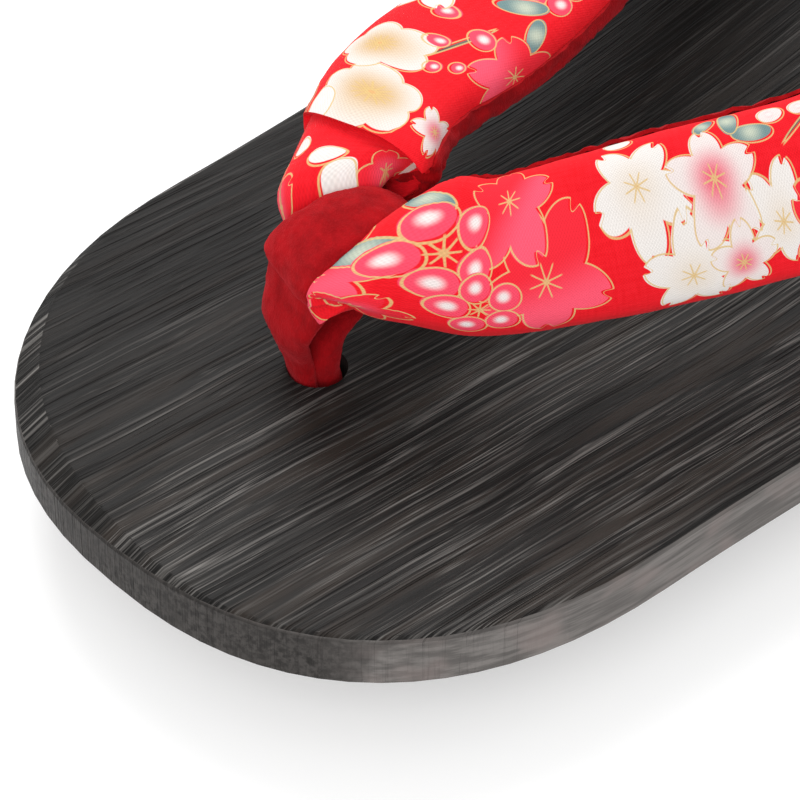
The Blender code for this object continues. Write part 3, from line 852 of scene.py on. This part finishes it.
def tie_cord():
    """Undyed hemp, twisted."""
    w = Wiring("tie_cord", 0.9)
    spot = w.place()
    hair = w.noise(spot, 2.6, 4.0, 0.7)
    w.set("Base Color", w.mix(hair, (0.30, 0.24, 0.16), (0.66, 0.58, 0.44)))
    w.set("Normal", w.bump(hair, mm(0.3), 0.8))
    return w.material


def ridge_lines(settings):
    """Where the grain's ridges cross the board's middle, how strong each is, and its place in the noise."""
    draw = np.random.default_rng(11)
    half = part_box("dai")[1].x
    lines = []
    place = -half
    while place < half:
        place += settings.ridge_gap * draw.uniform(0.55, 1.5)
        lines.append((place, draw.uniform(0.25, 1.0), draw.uniform(0.0, 50.0)))
    return lines


def ridge_relief(x, y, settings):
    """The height of the brushed grain at places on the top, from 0 to about 1."""
    drift = mm(0.7) * np.sin(y / mm(57) + 0.6) + mm(0.2) * np.sin(y / mm(21) + 2.0)
    level = x - (GRAIN_LEAN - GRAIN_FAN * x) * (y + GRAIN_MIDDLE) - drift
    relief = np.zeros(len(x))
    for place, strength, seed in ridge_lines(settings):
        near = np.abs(level - place) < mm(0.9)
        if not near.any():
            continue
        breaks = np.sin(y[near] / mm(9) + seed) + np.sin(y[near] / mm(23) + 2.3 * seed)
        fade = blend(0.55 + 0.35 * breaks)
        line = np.exp(-(((level[near] - place) / RIDGE_HALF) ** 2))
        relief[near] = np.maximum(relief[near], line * strength * fade)
    return relief


def cut_top(piece, settings):
    """Cuts the board's top into fine strips along the grain, and across it more coarsely."""
    low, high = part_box("dai")
    shape = bmesh.new()
    shape.from_mesh(piece.data)
    middle = Vector((0.0, -GRAIN_MIDDLE, 0.0))
    for axis, gap in ((0, settings.strip), (1, CROSS_STRIP)):
        normal = Vector((1.0, -GRAIN_LEAN, 0.0)) if axis == 0 else Vector((0.0, 1.0, 0.0))
        reach = high[axis] - low[axis]
        count = int(STRIPS_BEYOND * reach / gap)
        for k in range(1, count):
            at = middle.copy()
            at[axis] = STRIPS_BEYOND * (low[axis] + reach * k / count)
            level = at.dot(normal)
            crossed = []
            for face in shape.faces:
                if face.normal.z > 0.9:
                    levels = [v.co.dot(normal) for v in face.verts]
                    if min(levels) < level < max(levels):
                        crossed.append(face)
            parts = set(crossed)
            for face in crossed:
                parts.update(face.edges)
                parts.update(face.verts)
            bmesh.ops.bisect_plane(shape, geom=list(parts), dist=mm(0.001), plane_co=at, plane_no=normal)
    shape.to_mesh(piece.data)
    shape.free()


class GETA_OT_board(bpy.types.Operator):
    """Makes the brushed board from the wooden body, its grain raised in ridges"""

    bl_idname = "geta.board"
    bl_label = "Board"

    def execute(self, context):
        settings = context.scene.geta_board
        piece = node_copy("board", "dai")
        select_only(piece)
        bpy.ops.object.mode_set(mode="EDIT")
        bpy.ops.mesh.select_all(action="SELECT")
        flat = math.radians(2)
        bpy.ops.mesh.tris_convert_to_quads(face_threshold=flat, shape_threshold=math.pi)
        bpy.ops.object.mode_set(mode="OBJECT")
        cut_top(piece, settings)
        mesh = piece.data
        points = points_of(mesh)
        normals = normals_of(mesh)
        inside = normals[:, 2] > 0.985
        relief = ridge_relief(points[:, 0], points[:, 1], settings) * inside
        points[:, 2] += relief * settings.ridge_height
        put_points(mesh, points)
        stored = mesh.attributes.new("ridge", "FLOAT", "POINT")
        stored.data.foreach_set("value", relief.astype(np.float32))
        select_only(piece)
        bpy.ops.object.shade_smooth_by_angle(angle=math.radians(22))
        finish_piece(piece, black_wood(settings), "black_wood", "dai")
        return {"FINISHED"}


def smooth_rows(rows, steps):
    """Rows of numbers on a smooth curve through the rows given, with so many steps between each two."""
    rows = np.asarray(rows, float)
    found = []
    for k in range(len(rows) - 1):
        a, b = rows[max(k - 1, 0)], rows[k]
        c, d = rows[k + 1], rows[min(k + 2, len(rows) - 1)]
        for step in range(steps):
            t = step / steps
            square = 2 * a - 5 * b + 4 * c - d
            cube = 3 * b - a - 3 * c + d
            found.append(0.5 * (2 * b + (c - a) * t + square * t**2 + cube * t**3))
    found.append(rows[-1])
    return np.array(found)


def width_way(turn, tilt):
    """The way from a section's middle to its outer edge."""
    return np.stack([np.cos(turn) * np.cos(tilt), np.sin(turn) * np.cos(tilt), -np.sin(tilt)], axis=-1)


def waist():
    """The waist's middle as a place, and the ways to its toe edge, level and tilted."""
    level = Vector(width_way(WAIST_TURN, 0.0))
    spot = FRONT_HOLE - level.xy * WAIST_BEHIND_HOLE
    middle = Vector((spot.x, spot.y - LENGTH / 2, BALL_HEIGHT + WAIST_HEIGHT))
    return middle, level, Vector(width_way(WAIST_TURN, WAIST_TILT))


def arm_rows(rows, rear_side):
    """An arm's sections from the waist out, each as x, y, height, width, thickness, turn, tilt."""
    found = []
    for row in table(ARM_COLUMNS, rows):
        side = FRONT_HOLE.x + (rear_side - FRONT_HOLE.x) * row["side"]
        from_toe = FRONT_HOLE.y + (REAR_HOLE_FROM_TOE - FRONT_HOLE.y) * row["along"]
        height = float(top_height(from_toe)) + STRAP_HEIGHT * row["height"]
        size = [STRAP_WIDTH * row["width"], STRAP_THICKNESS * row["thickness"]]
        turns = [math.radians(row["turn"]), math.radians(row["tilt"])]
        found.append([side, from_toe - LENGTH / 2, height, *size, *turns])
    wood = float(top_height(REAR_HOLE_FROM_TOE))
    plug = HOLE_DIAMETER - 2 * FIT_GAP
    for depth in (-STRAP_NECK, 0.0, STRAP_END_DEPTH):
        end = [rear_side, REAR_HOLE_FROM_TOE - LENGTH / 2, wood - depth, plug, plug, found[-1][5], 0.0]
        found.append(end)
    return found


def strap_rows(steps):
    """The strap's sections from the outer rear hole to the inner one, and the waist's place among them."""
    middle, level, _ = waist()
    neck = []
    for reach in (WAIST_LENGTH / 2, -WAIST_LENGTH / 2):
        spot = middle + Vector((-level.y, level.x, 0.0)) * reach
        neck.append([*spot, WAIST_WIDTH, WAIST_THICKNESS, WAIST_TURN, WAIST_TILT])
    outer = arm_rows(OUTER_ARM_ROWS, REAR_HOLE_SIDE)[::-1]
    inner = arm_rows(INNER_ARM_ROWS, -REAR_HOLE_SIDE)
    rows = smooth_rows(outer + neck + inner, steps)
    return rows, len(outer) * steps + steps // 2


def section_frames(rows):
    """For each section its centre, the way to its outer edge and the way up."""
    centre = rows[:, :3]
    way = width_way(rows[:, 5], rows[:, 6])
    up = np.cross(np.gradient(centre, axis=0), way)
    return centre, way, up / np.linalg.norm(up, axis=1)[:, None]


def lengths(centre):
    """How far along the middle line each section lies."""
    steps = np.linalg.norm(np.diff(centre, axis=0), axis=1)
    return np.concatenate([[0.0], np.cumsum(steps)])


def wrapped_grid(name, rows, around, fullness, first=0.0, last=1.0, grow=0.0):
    """A grid rolled round sections, between two shares of the way round that start under the section.

    Its UV map cloth is in metres: along from the first row, and round from the section's top, positive to
    its outer edge. fullness is 2 for an oval section and more for a squarer one.
    """
    deselect()
    along = len(rows) - 1
    bpy.ops.mesh.primitive_grid_add(x_subdivisions=along, y_subdivisions=around, size=1)
    piece = bpy.context.object
    piece.name = name
    piece.data.name = name
    mesh = piece.data
    flat = points_of(mesh) + 0.5
    k = np.rint(flat[:, 0] * along).astype(int)
    share = first + (last - first) * flat[:, 1]
    centre, way, up = section_frames(rows)
    turn = 2 * math.pi * (share - 0.25)
    power = 2 / fullness
    aside = np.sign(np.cos(turn)) * np.abs(np.cos(turn)) ** power * (rows[k, 3] / 2 + grow)
    rise = np.sign(np.sin(turn)) * np.abs(np.sin(turn)) ** power * (rows[k, 4] / 2 + grow)
    put_points(mesh, centre[k] + way[k] * aside[:, None] + up[k] * rise[:, None])

    length = lengths(centre)
    girth = math.pi * (rows[:, 3] + rows[:, 4]) / 2
    layer = mesh.uv_layers[0]
    layer.name = "cloth"
    corner = read_all(mesh.loops, "vertex_index", int)
    cloth = np.stack([length[k[corner]], (0.5 - share[corner]) * girth[k[corner]]], axis=1)
    layer.data.foreach_set("uv", cloth.ravel().astype(np.float32))

    select_only(piece)
    bpy.ops.object.mode_set(mode="EDIT")
    bpy.ops.mesh.select_all(action="SELECT")
    if last - first == 1.0:
        bpy.ops.mesh.remove_doubles(threshold=mm(0.001))
        if np.linalg.norm(centre[0] - centre[-1]) > mm(0.01):
            bpy.ops.mesh.select_all(action="DESELECT")
            bpy.ops.mesh.select_non_manifold()
            bpy.ops.mesh.fill()
        bpy.ops.mesh.select_all(action="SELECT")
        bpy.ops.mesh.normals_make_consistent(inside=False)
    bpy.ops.object.mode_set(mode="OBJECT")
    return piece, length


def stamp(mesh, waist_at):
    """Stores each motif on the faces it covers: its coordinates as a UV map, its colours and its shape."""
    motifs = all_motifs()
    corners = cloth_of(mesh) * 1000
    corners[:, 0] -= waist_at * 1000
    starts, totals = face_corners(mesh)
    middles = np.add.reduceat(corners, starts, axis=0) / totals[:, None]
    face_of = np.repeat(np.arange(len(starts)), totals)
    for layer in range(1 + max(row["layer"] for row in motifs)):
        local = np.full((len(mesh.loops), 2), 9.0, np.float32)
        shape = np.tile(np.array([0.0, 0.01, 0.01, 0.0], np.float32), (len(starts), 1))
        marks = np.tile(np.array([5.0, 0.0, 1.0, 0.0], np.float32), (len(starts), 1))
        petal = np.zeros((len(starts), 4), np.float32)
        heart = np.ones((len(starts), 4), np.float32)
        best = np.full(len(starts), 1.0)
        for row in motifs:
            if row["layer"] != layer:
                continue
            kind = dict(zip(KIND_COLUMNS, KINDS[row["kind"]]))
            way = -1.0 if row["arm"] == "outer" else 1.0
            shift = TUCK_SHIFT * 1000 if row["arm"] == "tuck" else 0.0
            spot = np.array([way * row["along"] + shift, row["across"]])
            reach = row["size"] * 1.25 + 0.8
            away = np.linalg.norm(middles - spot, axis=1) / reach
            hit = away < np.minimum(best, 1.0)
            best[hit] = away[hit]
            angle = math.radians(row["turn"])
            turned = np.array([[math.cos(angle), -math.sin(angle)], [math.sin(angle), math.cos(angle)]])
            loops = hit[face_of]
            local[loops] = (corners[loops] - spot) @ turned / row["size"]
            shape[hit] = [kind["reach"], kind["long"], kind["wide"], kind["notch"]]
            marks[hit] = [kind["petals"], kind["stamens"], row["size"], kind["outline"]]
            ink, glowing = INKS[row["ink"]]
            petal[hit] = [*ink, kind["spot"]]
            heart[hit] = [*glowing, kind["glow"]]
        mesh.uv_layers.new(name=f"motif_{layer}").data.foreach_set("uv", local.ravel())
        for name, values in (("shape", shape), ("marks", marks), ("petal", petal), ("heart", heart)):
            stored = mesh.attributes.new(f"{name}_{layer}", "FLOAT_COLOR", "CORNER")
            stored.data.foreach_set("color", values[face_of].ravel())


def fold_and_lap(mesh, rows, points, normals, waist_at):
    """Folds the inner arm's cloth over itself near the thong, and laps the outer arm's end over the thong.

    The cloth between thong and fold gets its own part of the print.
    """
    loops = read_all(mesh.loops, "vertex_index", int)
    cloth = cloth_of(mesh).astype(float)
    place = np.zeros((len(points), 2))
    place[loops] = cloth
    along = place[:, 0] - waist_at
    across = place[:, 1]
    centre, way, up = section_frames(rows)
    length = lengths(centre)
    nearest = np.clip(np.searchsorted(length, place[:, 0]), 0, len(length) - 1)
    forward = np.gradient(centre, axis=0)
    forward = (forward / np.linalg.norm(forward, axis=1)[:, None])[nearest]
    upward = blend((np.sum(normals * up[nearest], axis=1) + 0.1) / 0.5)

    fold_row = int(np.searchsorted(length, waist_at + mm(FOLD_AT)))
    past = length[nearest] - length[fold_row]
    slant = FOLD_SLANT * across * (1 - blend(np.abs(past) / FOLD_EASE)) * upward
    points = points + forward * slant[:, None]
    cloth[:, 0] += slant[loops]
    beyond = past > -mm(0.01)
    sunk = ~beyond * (1 - grown(-past, FOLD_DOWN_FADE))
    proud = beyond * (1 - grown(past, FOLD_UP_FADE))
    inner = along > ARM_START
    rise = (proud * FOLD_UP - sunk * FOLD_DOWN) * FOLD_DEPTH
    points = points + normals * (rise * upward * inner)[:, None]
    back = proud * FOLD_LAP * (1 - grown(past, FOLD_LAP_FADE))
    points = points - forward * (back * upward * inner)[:, None]

    out = np.abs(along)
    above = 1 - grown(np.abs(across), LAP_ROUND)
    lap = OUTER_LAP * above * (along < 0) * (1 - grown(across, LAP_ACROSS))
    lap *= grown(out, LAP_START) * (1 - grown(out, LAP_END))
    points = points + forward * lap[:, None]
    drawn = np.where(along < 0, OUTER_DRAW, INNER_DRAW) * grown(across, DRAW_ACROSS) * above
    drawn *= grown(out, DRAW_START) * (1 - grown(out, DRAW_END))
    points = points - way[nearest] * drawn[:, None]

    starts, totals = face_corners(mesh)
    tucked = np.maximum.reduceat(past[loops], starts) < mm(0.01)
    tucked &= np.minimum.reduceat(along[loops], starts) > ARM_START
    cloth[np.repeat(tucked, totals), 0] += TUCK_SHIFT
    mesh.uv_layers["cloth"].data.foreach_set("uv", cloth.ravel().astype(np.float32))
    return points


class GETA_OT_strap(bpy.types.Operator):
    """Makes the padded V strap of printed cotton"""

    bl_idname = "geta.strap"
    bl_label = "Strap"

    def execute(self, context):
        settings = context.scene.geta_strap
        rows, waist_row = strap_rows(22)
        piece, length = wrapped_grid("strap", rows, 80, 2.5)
        mesh = piece.data
        points = swollen(mesh, STRAP_SWELLS)
        put_points(mesh, fold_and_lap(mesh, rows, points, normals_of(mesh), length[waist_row]))
        stamp(mesh, length[waist_row])
        select_only(piece)
        bpy.ops.object.shade_smooth_by_angle(angle=math.radians(50))
        finish_piece(piece, print_cotton(settings), "print_cotton", "hanao")
        return {"FINISHED"}


class GETA_OT_lining(bpy.types.Operator):
    """Makes the strap's dark velvet lining, whose ruffled edge shows along the arms"""

    bl_idname = "geta.lining"
    bl_label = "Lining"

    def execute(self, context):
        rows, _ = strap_rows(14)
        rows = rows[LINING_ENDS : -LINING_ENDS]
        piece, _ = wrapped_grid("lining", rows, 36, 2.5, *LINING_SHARES, mm(0.25))
        put_points(piece.data, swollen(piece.data, LINING_SWELLS))
        wall = piece.modifiers.new("wall", "SOLIDIFY")
        wall.thickness = mm(0.5)
        wall.offset = 0.0
        select_only(piece)
        bpy.ops.object.modifier_apply(modifier=wall.name)
        bpy.ops.object.shade_smooth_by_angle(angle=math.radians(60))
        finish_piece(piece, crimson_velvet(context.scene.geta_thong), "thong_velvet")
        return {"FINISHED"}


def thong_rows(steps):
    """The thong's sections: up the front leg, over the strap's waist and down the rear leg."""
    middle, level, tilted = waist()
    side = Vector((-level.y, level.x, 0.0))
    middle = middle - side * THONG_SHIFT
    hole = Vector((FRONT_HOLE.x, FRONT_HOLE.y - LENGTH / 2, BALL_HEIGHT))
    heading = math.atan2(side.y, side.x)
    rows = []
    for row in table(LEG_COLUMNS, FRONT_LEG_ROWS + REAR_LEG_ROWS):
        spot = hole - level * (row["along"] * WAIST_WIDTH / 2)
        spot.z += row["height"] * WAIST_HEIGHT
        rows.append([*spot, THONG_WIDTH * row["width"], THONG_THICKNESS * row["thickness"], heading, 0.0])
    for row, press in zip(rows[-3:], LEG_PRESS):
        row[:2] = np.array(row[:2]) + np.array(level.xy) * press
        row[4] *= REAR_LEG_FULLNESS
    for row, aside in zip(rows, LEG_ASIDE):
        row[:2] = np.array(row[:2]) - np.array(side.xy) * aside
    clear = FIT_GAP + THONG_EASE + THONG_THICKNESS / 2
    up = tilted.cross(side)
    loop = []
    for k in range(LOOP_ROWS):
        turn = LOOP_START + LOOP_SWEEP * k / (LOOP_ROWS - 1)
        spot = middle + tilted * ((WAIST_WIDTH / 2 + clear) * math.cos(turn))
        spot = spot + up * ((WAIST_THICKNESS / 2 + clear) * math.sin(turn))
        spot = spot + side * LOOP_SWELL
        width = THONG_WIDTH * (1 - THONG_TAPER * k / (LOOP_ROWS - 1)) * LOOP_FULLNESS
        loop.append([*spot, width, THONG_THICKNESS, heading, 0.0])
    legs = len(FRONT_LEG_ROWS)
    return smooth_rows(rows[:legs] + loop + rows[legs:], steps)


class GETA_OT_thong(bpy.types.Operator):
    """Makes the velvet front thong"""

    bl_idname = "geta.thong"
    bl_label = "Thong"

    def execute(self, context):
        settings = context.scene.geta_thong
        piece, _ = wrapped_grid("thong", thong_rows(14), 72, 2.4)
        put_points(piece.data, swollen(piece.data, THONG_SWELLS))
        select_only(piece)
        bpy.ops.object.shade_smooth_by_angle(angle=math.radians(60))
        finish_piece(piece, crimson_velvet(settings), "thong_velvet", "maetsubo")
        return {"FINISHED"}


class GETA_OT_treads(bpy.types.Operator):
    """Makes the rubber treads"""

    bl_idname = "geta.treads"
    bl_label = "Treads"

    def execute(self, context):
        finish = tread_rubber()
        for node in ("ball_tread", "heel_tread"):
            piece = node_copy(f"{node}_rubber", node)
            finish_piece(piece, finish, "tread_rubber", node)
        return {"FINISHED"}


def knot_rows(low, high):
    """Sections of a cord that is tied into an overhand knot inside a box's lower part."""
    half = (high.x - low.x) / 2
    cord = min(KNOT_CORD * half, KNOT_CORD_MOST)
    turns = np.linspace(0.0, 2 * math.pi, KNOT_ROWS)
    reach = (2 + np.cos(3 * turns)) * (half - cord) / 3
    narrower = (high.y - low.y) / (high.x - low.x)
    x = (low.x + high.x) / 2 + reach * np.cos(2 * turns)
    y = (low.y + high.y) / 2 + reach * np.sin(2 * turns) * narrower
    z = low.z + KNOT_HEIGHT / 2 + (KNOT_HEIGHT / 2 - cord) * np.sin(3 * turns)
    wide = np.full(KNOT_ROWS, 2 * cord)
    return np.stack([x, y, z, wide, wide, 2 * turns, np.zeros(KNOT_ROWS)], axis=1)


class GETA_OT_knots(bpy.types.Operator):
    """Makes the tied cords under the board"""

    bl_idname = "geta.knots"
    bl_label = "Knots"

    def execute(self, context):
        finish = tie_cord()
        for node in ("front_knot", "outer_knot", "inner_knot"):
            low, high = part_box(node)
            core = node_copy(f"{node}_core", node)
            middle = Vector(((low.x + high.x) / 2, (low.y + high.y) / 2, low.z + KNOT_HEIGHT / 2))
            for vert in core.data.vertices:
                if vert.co.z < low.z + KNOT_HEIGHT:
                    vert.co = middle + (vert.co - middle) * KNOT_CORE
            piece, _ = wrapped_grid(f"{node}_cord", knot_rows(low, high), 16, 2.0)
            select_only(piece)
            core.select_set(True)
            bpy.ops.object.join()
            bpy.ops.object.shade_smooth_by_angle(angle=math.radians(50))
            finish_piece(piece, finish, "tie_cord", node)
        return {"FINISHED"}


def add_light(name, size, power, spot, target=CAMERA_TARGET):
    light = bpy.data.lights.new(name, "AREA")
    light.size = size
    light.energy = power
    made = bpy.data.objects.new(name, light)
    made.location = spot
    made.rotation_euler = (Vector(target) - Vector(spot)).to_track_quat("-Z", "Y").to_euler()
    bpy.context.scene.collection.objects.link(made)
    return made


class GETA_OT_studio(bpy.types.Operator):
    """Lays the pale floor, hangs the soft lights and sets up the camera"""

    bl_idname = "geta.studio"
    bl_label = "Studio"

    def execute(self, context):
        deselect()
        bpy.ops.mesh.primitive_plane_add(size=6.0, location=(0, 0, 0))
        floor = context.object
        floor.name = "floor"
        w = Wiring("pale_floor", 0.9)
        w.set("Base Color", (0.62, 0.62, 0.62, 1.0))
        w.set("Emission Color", (1.0, 1.0, 1.0, 1.0))
        w.set("Emission Strength", 0.42)
        floor.data.materials.append(w.material)

        world = bpy.data.worlds.new("studio")
        world.use_nodes = True
        world.node_tree.nodes["Background"].inputs["Color"].default_value = (1.0, 1.0, 1.0, 1.0)
        world.node_tree.nodes["Background"].inputs["Strength"].default_value = 0.85
        context.scene.world = world
        context.scene.view_settings.view_transform = "Standard"
        add_light("key", 0.7, 9.0, (-0.55, 0.35, 0.85))
        add_light("front", 0.9, 5.0, (0.55, -0.75, 0.75))

        back = Vector((
            math.sin(CAMERA_AZIMUTH) * math.cos(CAMERA_ELEVATION),
            -math.cos(CAMERA_AZIMUTH) * math.cos(CAMERA_ELEVATION),
            math.sin(CAMERA_ELEVATION),
        ))
        view = bpy.data.cameras.new("camera")
        view.lens = CAMERA_LENS
        view.sensor_width = 36.0
        made = bpy.data.objects.new("camera", view)
        made.location = CAMERA_TARGET + back * CAMERA_DISTANCE
        made.rotation_euler = back.to_track_quat("Z", "Y").to_euler()
        context.scene.collection.objects.link(made)
        context.scene.camera = made
        return {"FINISHED"}


class GETA_PT_panel(bpy.types.Panel):
    """Lists the sandal's pieces and their settings"""

    bl_idname = "GETA_PT_panel"
    bl_label = "Geta Sandal"
    bl_space_type = "VIEW_3D"
    bl_region_type = "UI"
    bl_category = "Geta"

    def draw(self, context):
        layout = self.layout
        for piece in PIECES:
            layout.operator(piece.bl_idname)
        for group in (context.scene.geta_board, context.scene.geta_strap, context.scene.geta_thong):
            box = layout.box()
            for name in group.__annotations__:
                box.prop(group, name)


PIECES = (
    GETA_OT_board,
    GETA_OT_strap,
    GETA_OT_lining,
    GETA_OT_thong,
    GETA_OT_treads,
    GETA_OT_knots,
    GETA_OT_studio,
)
SETTINGS = {
    "geta_board": GetaBoardSettings,
    "geta_strap": GetaStrapSettings,
    "geta_thong": GetaThongSettings,
}


def register():
    for group in SETTINGS.values():
        bpy.utils.register_class(group)
    for name, group in SETTINGS.items():
        setattr(bpy.types.Scene, name, bpy.props.PointerProperty(type=group))
    for item in (*PIECES, GETA_PT_panel):
        bpy.utils.register_class(item)


def unregister():
    for item in reversed((*PIECES, GETA_PT_panel)):
        bpy.utils.unregister_class(item)
    for name in SETTINGS:
        delattr(bpy.types.Scene, name)
    for group in SETTINGS.values():
        bpy.utils.unregister_class(group)


def main():
    """Registers the add-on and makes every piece."""
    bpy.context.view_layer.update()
    register()
    bpy.ops.geta.board()
    bpy.ops.geta.strap()
    bpy.ops.geta.lining()
    bpy.ops.geta.thong()
    bpy.ops.geta.treads()
    bpy.ops.geta.knots()
    bpy.ops.geta.studio()


if __name__ == "__main__":
    main()
